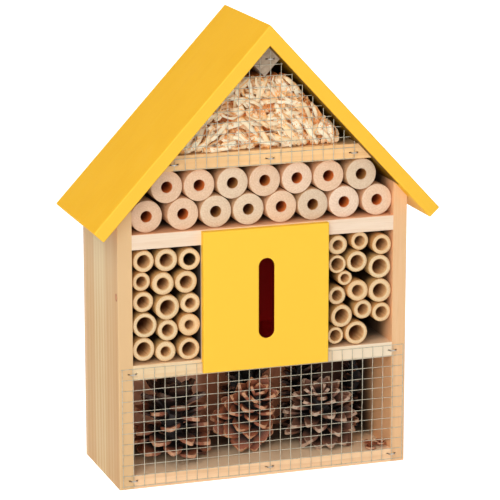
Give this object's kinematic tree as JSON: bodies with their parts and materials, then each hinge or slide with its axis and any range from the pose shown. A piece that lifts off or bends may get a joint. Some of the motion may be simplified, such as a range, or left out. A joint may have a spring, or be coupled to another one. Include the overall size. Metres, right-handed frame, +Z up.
{
  "type": "insect hotel",
  "caption": "Gabled wooden insect hotel with a painted roof and slotted front panel, drilled logs, hollow canes, pine cones and shavings behind wire net.",
  "frame": {"origin": "on the ground, under the middle of the whole object's box", "axes": "+Z up, +X to the right seen from the front, +Y from the front to the back"},
  "size_m": [0.207, 0.082, 0.2663],
  "materials": {
    "yellow_paint": "wooden boards under smooth warm yellow paint, satin",
    "pine": "planed bare pine, matt",
    "chamber_pine": "pine stained dark red inside the chamber, matt",
    "plywood": "thin bare plywood, matt",
    "log_wood": "round sticks with sawn ends and drilled bores, matt",
    "cane": "dry bamboo cane with a satin skin and sawn ends",
    "pine_cone": "dry open pine cone, dark inside with reddish scale tips",
    "shavings": "loose curled wood shavings, matt",
    "net_wire": "galvanised welded wire",
    "steel": "bright steel wire, slightly dull"
  },
  "bodies": {
    "root": {"left_wall": "pine", "right_wall": "pine", "bottom_board": "pine", "lower_shelf": "pine", "upper_shelf": "pine", "gable_shelf": "pine", "ridge_batten": "pine", "back_panel": "plywood", "left_divider": "chamber_pine", "right_divider": "chamber_pine", "left_roof_board": "yellow_paint", "right_roof_board": "yellow_paint", "front_panel": "yellow_paint", "lower_mesh": "net_wire", "gable_mesh": "net_wire", "lower_mesh_staples": "steel", "gable_mesh_staples": "steel", "back_nails": "steel", "log_row_lower": "log_wood", "log_row_upper": "log_wood", "cane_left_01": "cane", "cane_left_02": "cane", "cane_left_03": "cane", "cane_left_04": "cane", "cane_left_05": "cane", "cane_left_06": "cane", "cane_left_07": "cane", "cane_left_08": "cane", "cane_left_09": "cane", "cane_left_10": "cane", "cane_left_11": "cane", "cane_left_12": "cane", "cane_left_13": "cane", "cane_left_14": "cane", "cane_left_15": "cane", "cane_right_01": "cane", "cane_right_02": "cane", "cane_right_03": "cane", "cane_right_04": "cane", "cane_right_05": "cane", "cane_right_06": "cane", "cane_right_07": "cane", "cane_right_08": "cane", "cane_right_09": "cane", "cane_right_10": "cane", "cane_right_11": "cane", "cane_right_12": "cane", "cane_right_13": "cane", "cane_right_14": "cane", "cane_right_15": "cane", "pine_cone_1": "pine_cone", "pine_cone_2": "pine_cone", "pine_cone_3": "pine_cone", "pine_cone_4": "pine_cone", "pine_cone_5": "pine_cone", "pine_cone_6": "pine_cone", "shavings": "shavings"}
  },
  "joints": []
}
